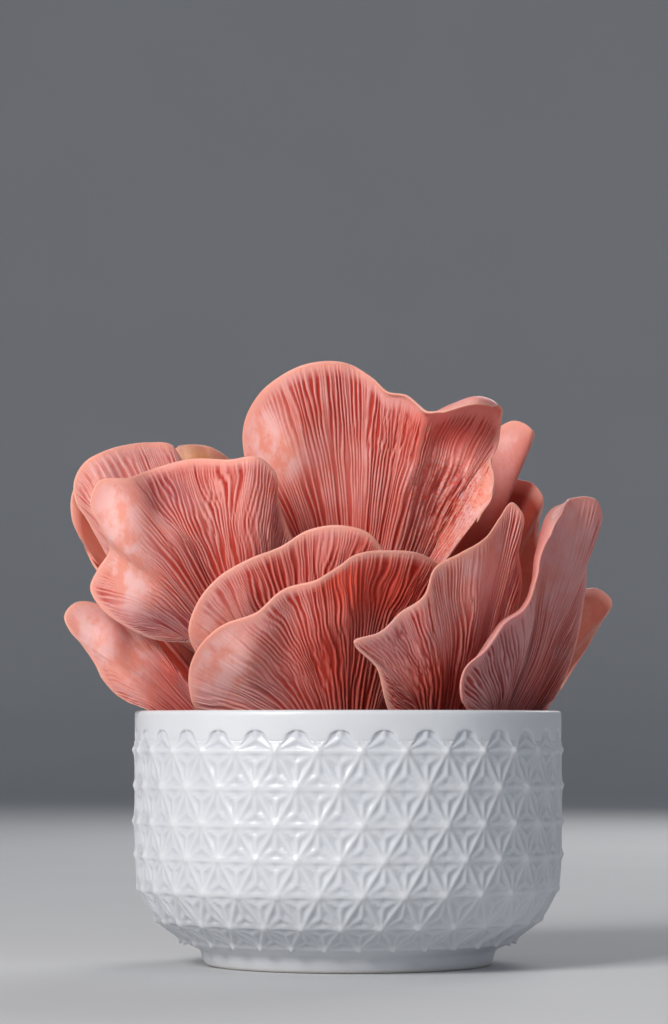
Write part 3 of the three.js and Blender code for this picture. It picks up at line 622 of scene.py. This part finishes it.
def fan_piece(name, body, material, seed):
    """A fruit body: the sheet thickened into flesh, gills raised on one side, the other smooth.

    Rows run from the root out along the gills, round the rolled edge and back along the
    smooth side, so the piece closes on itself at the root, and a zip of triangles closes
    each flank. Its surface layer holds the crests, the way out from the root, the side and
    the lip; the crests set the painted shade in the grooves, and the way out the painted shade
    near the stem. Its stains and painted light layer holds the painted glow and red shade, the
    painted grey shade, and the pale and porous spots.
    """
    share = body["detail"] * 1.0
    columns = int(FAN_COLUMNS * share)
    lengthwise = np.linspace(0, 1, body.get("rows", FAN_ROWS)) ** 0.85
    rolled = np.linspace(0, 1, ROLL_ROWS)[1:]
    middle, length = middle_sheet(body, columns, lengthwise, rolled)
    du, dv = np.gradient(middle, axis=1), np.gradient(middle, axis=0)
    normal = unit(np.cross(du, dv))
    width = np.linalg.norm(du, axis=-1) * (columns - 1)
    reach = np.linalg.norm(dv, axis=-1).sum(axis=0)
    rows = len(middle)
    u = np.broadcast_to(np.linspace(0, 1, columns), (rows, columns))
    v = np.broadcast_to(np.concatenate([lengthwise, 1 + rolled])[:, None], (rows, columns))
    flank = np.minimum(u, 1 - u) * width
    x, h = middle[..., 0], middle[..., 2] - RIM
    push = sheet_push(u, v, x, h, length, body, seed)
    middle = middle + normal[:len(lengthwise)].mean(axis=0) * push[..., None]
    thick = flesh_thickness(u, v, flank)
    ridge = gill_ridges(u, v, x, h, width, reach, body, seed + 10)
    clear = gill_cover(u, v, x, h, length, flank, body, seed + 6)
    pores = spots_of(body, "pores", x, h) * smoothstep(1.0, 0.9, v)
    clear = clear * (1 - 0.8 * pores)
    bumps = (soft_noise(u * length / 1.5, v * 32, seed + 8)
             + 0.6 * soft_noise(u * length / 3.0, v * 18, seed + 9))
    lift = body.get("gill", GILL_HEIGHT) * clear * (ridge - 0.5) + 0.5 * pores * bumps
    # Dips in the pores count as grooves, so the painted groove shade darkens them.
    ridge = np.clip(ridge + pores * np.minimum(bumps, 0) * 0.9, 0, 1)
    front = middle + normal * (thick / 2 + lift)[..., None]
    smooth_side = middle - normal * (thick / 2)[..., None]
    spread = np.linspace(0, rows - 1, BACK_ROWS)
    picks = np.round(spread).astype(int)[::-1]
    forward = unit(middle[-1] - middle[-2])
    rounding = [front[-1] * (1 - s) + smooth_side[-1] * s
                + forward * (thick[-1] * 0.45 * bulge)[:, None] for s, bulge in LIP_ROUND]
    loops = np.concatenate([front, np.stack(rounding), smooth_side[picks]])
    total = len(loops)
    k, i = np.meshgrid(np.arange(total), np.arange(columns - 1), indexing="ij")
    j = (k + 1) % total
    quads = np.stack([k * columns + i, k * columns + i + 1, j * columns + i + 1,
                      j * columns + i], axis=-1).reshape(-1, 4)

    def all_round(gill_side, lip_edge, smooth):
        """One number for each point, from its values on the three stretches of rows."""
        return np.concatenate([gill_side, np.full((len(LIP_ROUND), columns), lip_edge), smooth])

    # Painted shade in the grooves: 0 where the colour turns to the groove's painted shade, 1 on
    # crests and bare flesh.
    groove_shade_fade = 1 - np.maximum(clear, 0.8 * pores) * (1 - ridge)
    crest = all_round(groove_shade_fade, 1.0, np.ones((len(picks), columns)))
    out = all_round(v, 2.0, v[picks]) / 2
    back = all_round(np.zeros((rows, columns)), 0.5, np.ones((len(picks), columns)))
    along = np.linspace(0, length, columns)
    step = np.linalg.norm(np.diff(middle, axis=0, append=middle[-1:]), axis=-1)
    to_tip = np.cumsum(step[::-1], axis=0)[::-1]
    to_tip = all_round(to_tip, 0.0, to_tip[picks])
    ragged = 0.35 * soft_noise(along / 2.3, along * 0, seed + 12)
    near_lip = smoothstep(LIP_WIDTH, LIP_CORE, to_tip + ragged)
    seen_x, seen_h = loops[..., 0], loops[..., 2] - RIM
    stains_and_painted_light = [spots_of(body, key, seen_x, seen_h) for key in ("painted_glow_and_shade", "painted_grey_shade", "pale", "pores")]
    stains_and_painted_light[3] = stains_and_painted_light[3] * (1 - back)
    piece = build_mesh(name + "_flesh", loops.reshape(-1, 3), quads,
                       flank_zip(rows, picks, total, columns),
                       np.stack([crest, out, back, near_lip], axis=-1).reshape(-1, 4),
                       np.stack(stains_and_painted_light, axis=-1).reshape(-1, 4))
    declare(piece, name, material)


def flank_zip(rows, picks, total, columns):
    """Triangles that close both flanks, zipping the gill side's rows to the smooth side's."""
    chain = np.concatenate([[rows - 1] * len(LIP_ROUND), picks])
    faces = []
    here = rows - 1
    previous = None
    for stop, other in zip(chain, np.arange(rows, total)):
        if previous is not None:
            faces.append((here, other, previous))
        while here > stop:
            faces.append((here, here - 1, other))
            here -= 1
        previous = other
    faces = np.array(faces)
    left = faces[:, ::-1] * columns
    right = faces * columns + columns - 1
    return np.concatenate([left, right])


# ---------------------------------------------------------------- butt
# Share of the way up the foot, and its width there as a share of the widest.
BUTT_OUTLINE = [(0, 0.15), (0.02, 0.86), (0.15, 0.98), (0.45, 1.0), (0.75, 0.97), (0.9, 0.88),
                (0.97, 0.7), (1.0, 0.1)]
BUTT_FILL = 0.94
BUTT_AROUND, BUTT_ROWS = 160, 60


def make_butt(material):
    """Fused foot of the cluster: a turned shape with lobes that swell and a fibrous skin."""
    low, high = (np.array(c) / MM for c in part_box("cluster_butt"))
    angle = whole_turn(BUTT_AROUND)
    t = np.linspace(0.001, 0.999, BUTT_ROWS)[:, None]
    outline = np.interp(t, *zip(*BUTT_OUTLINE))
    lobes = 1 + 0.04 * np.sin(3 * angle + 1) + 0.03 * np.sin(7 * angle + 4 * t)
    fibre = 1 + 0.012 * soft_noise(angle * NOISE_CELLS / (2 * np.pi), t * 6, 5)
    wide = BUTT_FILL * (high[0] - low[0]) / 2 * outline * lobes * fibre
    height = low[2] + (high[2] - low[2]) * t
    points = np.concatenate([circle(wide, height, angle).reshape(-1, 3),
                             [(0, 0, low[2]), (0, 0, high[2])]])
    count = BUTT_ROWS * BUTT_AROUND
    ends = np.concatenate([end_fan(0, BUTT_AROUND, count, below=True),
                           end_fan(BUTT_ROWS - 1, BUTT_AROUND, count + 1)])
    piece = build_mesh("cluster_butt_flesh", points, ring_quads(BUTT_ROWS, BUTT_AROUND), ends)
    declare(piece, "cluster_butt", material)


# ---------------------------------------------------------------- materials
class Recipe:
    """A small helper that adds nodes to a new material and links them."""

    def __init__(self, name):
        self.material = bpy.data.materials.new(name)
        self.material.use_nodes = True
        self.tree = self.material.node_tree
        self.shader = self.tree.nodes["Principled BSDF"]
        self.object = self.add("ShaderNodeTexCoord").outputs["Object"]

    def add(self, kind, links=None, **values):
        """A node with sockets linked to sources and others set to values."""
        node = self.tree.nodes.new(kind)
        for key, value in values.items():
            if hasattr(node, key):
                setattr(node, key, value)
            else:
                node.inputs[key].default_value = value
        for key, source in (links or {}).items():
            self.tree.links.new(source, node.inputs[key])
        return node

    def feed(self, socket, value):
        """Sets a socket to a number or a colour, or links it to a source."""
        if isinstance(value, (float, int)):
            socket.default_value = value
        elif isinstance(value, tuple):
            socket.default_value = (*value, 1.0)
        else:
            self.tree.links.new(value, socket)

    def noise(self, scale, detail=3.0, roughness=0.5, stretch=None):
        """Noise from 0 to 1 in the piece's own space, stretched where a stretch is given."""
        source = self.object
        if stretch:
            source = self.add("ShaderNodeMapping", {"Vector": source}, Scale=stretch).outputs[0]
        return self.add("ShaderNodeTexNoise", {"Vector": source}, Scale=scale, Detail=detail,
                        Roughness=roughness).outputs["Fac"]

    def span(self, source, low, high, to_low=0.0, to_high=1.0):
        """The source's span from low to high, spread over another span and held at its ends."""
        node = self.add("ShaderNodeMapRange", {"Value": source})
        for key, value in (("From Min", low), ("From Max", high), ("To Min", to_low),
                           ("To Max", to_high)):
            node.inputs[key].default_value = value
        return node.outputs["Result"]

    def mix(self, factor, one, two):
        """Colour one at a factor of 0, colour two at 1."""
        node = self.add("ShaderNodeMix", data_type="RGBA")
        for socket, value in zip((node.inputs[0], node.inputs[6], node.inputs[7]),
                                 (factor, one, two)):
            self.feed(socket, value)
        return node.outputs[2]

    def maths(self, kind, one, two):
        """The sum or the product of two numbers."""
        node = self.add("ShaderNodeMath", operation=kind)
        self.feed(node.inputs[0], one)
        self.feed(node.inputs[1], two)
        return node.outputs[0]

    def bump(self, height, strength, distance):
        """Small relief, as a height in metres times its distance."""
        node = self.add("ShaderNodeBump", {"Height": height}, Strength=strength,
                        Distance=distance)
        self.link(node.outputs["Normal"], "Normal")

    def layer(self, title):
        """The four channels of one of the piece's own layers."""
        node = self.add("ShaderNodeAttribute", attribute_name=title)
        split = self.add("ShaderNodeSeparateColor", {"Color": node.outputs["Color"]})
        return (*split.outputs, node.outputs["Alpha"])

    def link(self, source, socket):
        """Links a source to the shader."""
        self.tree.links.new(source, self.shader.inputs[socket])

    def set(self, **values):
        """Sets the shader's own sockets."""
        for key, value in values.items():
            self.shader.inputs[key.replace("_", " ")].default_value = value


# Glaze on the wall in its two tones, where it pools, and the bare clay of the foot ring.
GLAZE, GLAZE_LIGHT, GLAZE_POOL = (0.66, 0.68, 0.715), (0.71, 0.73, 0.76), (0.61, 0.635, 0.68)
CLAY, CLAY_LIGHT = (0.62, 0.58, 0.52), (0.74, 0.70, 0.64)
# Bloom on pale spots, painted deep red shade on the smooth side where light glows through the
# flesh, and painted purple grey shade over grooves and crests.
BLOOM, BLOOM_MOTTLE = (0.90, 0.52, 0.49), (0.84, 0.33, 0.25)
PAINTED_GLOW_SHADE = (0.36, 0.015, 0.008)
PAINTED_SHADE_GROOVE, PAINTED_SHADE_CREST = (0.17, 0.04, 0.05), (0.40, 0.24, 0.27)
BUTT_FIBRE, BUTT_LIGHT, BUTT_STAIN = (0.72, 0.50, 0.42), (0.86, 0.72, 0.64), (0.66, 0.25, 0.20)
PAPER, PAPER_LIGHT = (0.50, 0.51, 0.525), (0.54, 0.55, 0.565)
# Colours of crests, grooves, smooth side, lip and pale spots on the smooth side. The grooves'
# colour is painted shade between the gills; the lip's is partly painted light glowing through
# the thin margin.
ROSE_LIP, ROSE_SPOT = (0.88, 0.40, 0.32), (0.80, 0.38, 0.34)
FLESHES = {
    "rose": ((0.74, 0.31, 0.28), (0.50, 0.04, 0.02), (0.60, 0.15, 0.10), ROSE_LIP, ROSE_SPOT),
    # A darker, greyer copy of the rose flesh: painted shade for a cap turned away from the light.
    "shaded_rose": ((0.66, 0.30, 0.29), (0.42, 0.05, 0.035), (0.55, 0.14, 0.11), (0.72, 0.31, 0.27),
              ROSE_SPOT),
    # A darker, redder copy of the rose flesh: painted shade for caps seen from their shaded back.
    "deep_shade": ((0.74, 0.24, 0.18), (0.42, 0.03, 0.015), (0.46, 0.05, 0.02), ROSE_LIP, ROSE_SPOT),
    "amber": ((0.72, 0.33, 0.25), (0.45, 0.08, 0.03), (0.66, 0.27, 0.20), (0.74, 0.38, 0.28),
              (0.50, 0.30, 0.08)),
}
# Fruit bodies that are not plain rose: amber has its own yellow rim, and the shaded copies of
# the rose flesh are painted shade on caps turned away from the light.
TINTS_AND_SHADES = {"cap_right": "shaded_rose", "cap_right_back": "deep_shade", "cap_back_left_low": "deep_shade",
         "cap_back_left": "amber"}


def porcelain_glaze():
    """White glaze that pools slightly cooler in the pits, on a bare, matt foot ring."""
    r = Recipe("porcelain_glaze")
    height, bare, *_ = r.layer("surface")
    cloud = r.mix(r.span(r.noise(40), 0.3, 0.7), GLAZE, GLAZE_LIGHT)
    pooled = r.mix(r.span(height, 0.15, 0.6), GLAZE_POOL, cloud)
    clay = r.mix(r.noise(900), CLAY, CLAY_LIGHT)
    r.link(r.mix(bare, pooled, clay), "Base Color")
    r.link(r.maths("ADD", r.span(r.noise(120), 0.3, 0.7, 0.34, 0.42),
                   r.maths("MULTIPLY", bare, 0.5)), "Roughness")
    r.set(IOR=1.5, Coat_Weight=0.12, Coat_Roughness=0.12, Subsurface_Weight=0.05,
          Subsurface_Radius=(0.003, 0.003, 0.003), Subsurface_Scale=1.0)
    r.bump(r.noise(160, 2), 0.04, 0.0005)
    return r.material


def shade(colour, *scale):
    """A colour with each channel scaled, no brighter than full."""
    return tuple(min(1.0, c * k) for c, k in zip(colour, scale))


def cap_flesh(name, crest, valley, smooth_side, lip, spot):
    """Pink flesh: pale gill crests over red grooves darkened with painted shade, painted shade
    deepening towards the stem, a warm pale lip round the margin that is partly painted light
    glowing through the thin edge, and a mottled, velvety smooth side. The piece's stains and
    painted light layer adds painted red glow and shade, painted purple grey shade and pale
    patches, and pores whose dented holes are darkened with painted shade."""
    r = Recipe(name)
    ridge, reach, back, near_lip = r.layer("surface")
    painted_glow_and_shade, painted_grey_shade, pale_spot, porous = r.layer("stains_and_painted_light")
    patch = r.span(r.noise(42, 4), 0.38, 0.60)
    mottle = r.span(r.noise(170, 4, 0.6, stretch=(1, 1, 0.6)), 0.44, 0.58)
    streak = r.span(r.noise(120, 3, 0.6), 0.35, 0.68)
    fine = r.span(r.noise(700, 3), 0.3, 0.7)
    pale = r.mix(patch, crest, shade(crest, 1.0, 0.78, 0.68))
    pale = r.mix(streak, pale, shade(crest, 1.08, 1.2, 1.22))
    pale = r.mix(pale_spot, pale, r.mix(mottle, BLOOM, BLOOM_MOTTLE))
    # Groove colour: painted shade between the gills, patchily deeper.
    deep_shade = r.mix(patch, valley, shade(valley, 0.85, 0.6, 0.6))
    gills = r.mix(r.span(ridge, 0.08, 0.8), deep_shade, pale)
    # Painted light glowing through the flesh: orange-red crests over darker grooves.
    gills = r.mix(r.maths("MULTIPLY", painted_glow_and_shade, 0.9), gills,
                  r.mix(ridge, shade(valley, 0.85, 0.5, 0.4), shade(crest, 1.1, 0.30, 0.18)))
    # Painted shade deepening towards the stem, on the gills and on the smooth side.
    root_shade_fade = r.span(reach, 0.12, 0.42)
    gills = r.mix(root_shade_fade, r.mix(0.8, gills, shade(valley, 0.75, 0.7, 0.7)), gills)
    freckles = r.span(r.noise(260, 3), 0.42, 0.62)
    velvet = r.mix(freckles, smooth_side, shade(smooth_side, 1.1, 1.5, 1.5))
    velvet = r.mix(patch, velvet, shade(smooth_side, 0.85, 0.85, 0.85))
    velvet = r.mix(pale_spot, velvet, r.mix(mottle, spot, shade(spot, 0.95, 0.75, 0.7)))
    # Painted deep red shade on the smooth side, as light glows through flesh in shadow.
    velvet = r.mix(r.maths("MULTIPLY", painted_glow_and_shade, 0.7), velvet, PAINTED_GLOW_SHADE)
    velvet = r.mix(root_shade_fade, shade(smooth_side, 0.6, 0.4, 0.4), velvet)
    colour = r.mix(back, gills, velvet)
    # Pore holes darkened with painted shade, and dented by the bump below.
    holes = r.span(r.noise(1100, 2), 0.34, 0.50, 1.0, 0.0)
    colour = r.mix(r.maths("MULTIPLY", porous, r.maths("MULTIPLY", holes, 0.7)), colour,
                   shade(valley, 1.4, 1.6, 1.6))
    # Pale lip: partly the margin's own colour, partly painted light glowing through the thin edge.
    colour = r.mix(near_lip, colour, r.mix(patch, lip, shade(lip, 0.97, 0.88, 0.86)))
    # Painted purple grey shade over grooves and crests.
    colour = r.mix(r.maths("MULTIPLY", painted_grey_shade, 0.7), colour,
                   r.mix(ridge, PAINTED_SHADE_GROOVE, PAINTED_SHADE_CREST))
    r.link(colour, "Base Color")
    r.link(r.span(fine, 0, 1, 0.42, 0.6), "Roughness")
    r.set(IOR=1.38, Subsurface_Weight=0.4, Subsurface_Radius=(1.0, 0.2, 0.12),
          Subsurface_Scale=0.0026, Sheen_Weight=0.1, Sheen_Roughness=0.5)
    dents = r.maths("MULTIPLY", r.maths("MULTIPLY", porous, holes), -2.0)
    r.bump(r.maths("ADD", r.noise(1300, 4, 0.6), dents), 0.4, 0.00025)
    return r.material


def butt_flesh():
    """Pale, fibrous flesh, streaked upright and stained towards pink."""
    r = Recipe("butt_flesh")
    fibre = r.span(r.noise(260, 4, stretch=(1, 1, 0.15)), 0.35, 0.65)
    colour = r.mix(fibre, BUTT_FIBRE, BUTT_LIGHT)
    stain = r.span(r.noise(60), 0.45, 0.6)
    r.link(r.mix(r.maths("MULTIPLY", stain, 0.5), colour, BUTT_STAIN), "Base Color")
    r.link(r.span(fibre, 0, 1, 0.55, 0.75), "Roughness")
    r.set(Subsurface_Weight=0.25, Subsurface_Radius=(1.0, 0.5, 0.4), Subsurface_Scale=0.0015)
    r.bump(fibre, 0.4, 0.0006)
    return r.material


# ---------------------------------------------------------------- studio
# Radius and height in metres of the floor's rings, from the middle out and up the wall.
BACKDROP = [(0.5, 0), (1.5, 0), (2.4, 0), (2.75, 0.06), (2.95, 0.2), (3.05, 0.45), (3.1, 1.0),
            (3.1, 2.2)]
BACKDROP_AROUND = 96
SKY, SKY_STRENGTH = (0.80, 0.87, 1.0, 1), 0.22
# Place in metres, size, power and colour of each lamp, and the height they all aim at.
LAMPS = {"key": ((-0.80, -0.95, 0.80), 0.62, 20.5, (1.0, 0.97, 0.94)),
         "fill": ((1.2, -1.1, 0.5), 1.2, 3.4, (0.90, 0.94, 1.0)),
         "back": ((0.5, 1.2, 0.9), 0.8, 9.0, (1.0, 0.97, 0.95))}
AIM_HEIGHT = 0.09
CAMERA_PLACE, CAMERA_TILT = (-0.00395, -1.0, 0.067), 93.44
SENSOR, LENS, CLIP_START, CLIP_END = 36.0, 124.52, 0.05, 20.0


def make_floor():
    """A pale round floor that curves up into a wall."""
    angle = whole_turn(BACKDROP_AROUND)
    rows = [circle(radius / MM, height / MM, angle) for radius, height in BACKDROP]
    centre = len(rows) * BACKDROP_AROUND
    floor = build_mesh("studio_floor", np.concatenate([*rows, [(0, 0, 0)]]),
                       ring_quads(len(rows), BACKDROP_AROUND)[:, ::-1],
                       end_fan(0, BACKDROP_AROUND, centre))
    r = Recipe("studio_paper")
    r.link(r.mix(r.noise(6), PAPER, PAPER_LIGHT), "Base Color")
    r.set(Roughness=0.9)
    floor.data.materials.append(r.material)


def make_lights():
    """A key light from the upper left, a wide fill from the right, one behind and a low sky."""
    world = bpy.data.worlds.new("studio")
    world.use_nodes = True
    sky = world.node_tree.nodes["Background"]
    sky.inputs["Color"].default_value, sky.inputs["Strength"].default_value = SKY, SKY_STRENGTH
    bpy.context.scene.world = world
    for name, (place, size, power, groove_shade_fade) in LAMPS.items():
        lamp = bpy.data.lights.new(name, "AREA")
        lamp.size, lamp.energy, lamp.color = size, power, groove_shade_fade
        light = bpy.data.objects.new(name, lamp)
        light.location = place
        x, y, z = np.array([0, 0, AIM_HEIGHT]) - np.array(place)
        light.rotation_euler = (np.arctan2(np.hypot(x, y), -z), 0, np.arctan2(-x, y))
        bpy.context.scene.collection.objects.link(light)


def make_camera():
    """A long lens a metre in front, a little below the rim and tipped slightly up."""
    lens = bpy.data.cameras.new("camera")
    lens.sensor_fit, lens.sensor_height, lens.lens = "VERTICAL", SENSOR, LENS
    lens.clip_start, lens.clip_end = CLIP_START, CLIP_END
    camera = bpy.data.objects.new("camera", lens)
    camera.location = CAMERA_PLACE
    camera.rotation_euler = (np.radians(CAMERA_TILT), 0, 0)
    bpy.context.scene.collection.objects.link(camera)
    bpy.context.scene.camera = camera


def main():
    """Builds the studio and every piece."""
    bpy.context.scene.view_settings.view_transform = "Standard"
    make_floor()
    make_lights()
    make_camera()
    make_bowl(porcelain_glaze())
    make_butt(butt_flesh())
    fleshes = {name: cap_flesh(name + "_flesh", *colours) for name, colours in FLESHES.items()}
    for seed, (name, body) in enumerate(FRUIT_BODIES.items()):
        fan_piece(name, body, fleshes[TINTS_AND_SHADES.get(name, "rose")], 100 * seed + 11)


main()
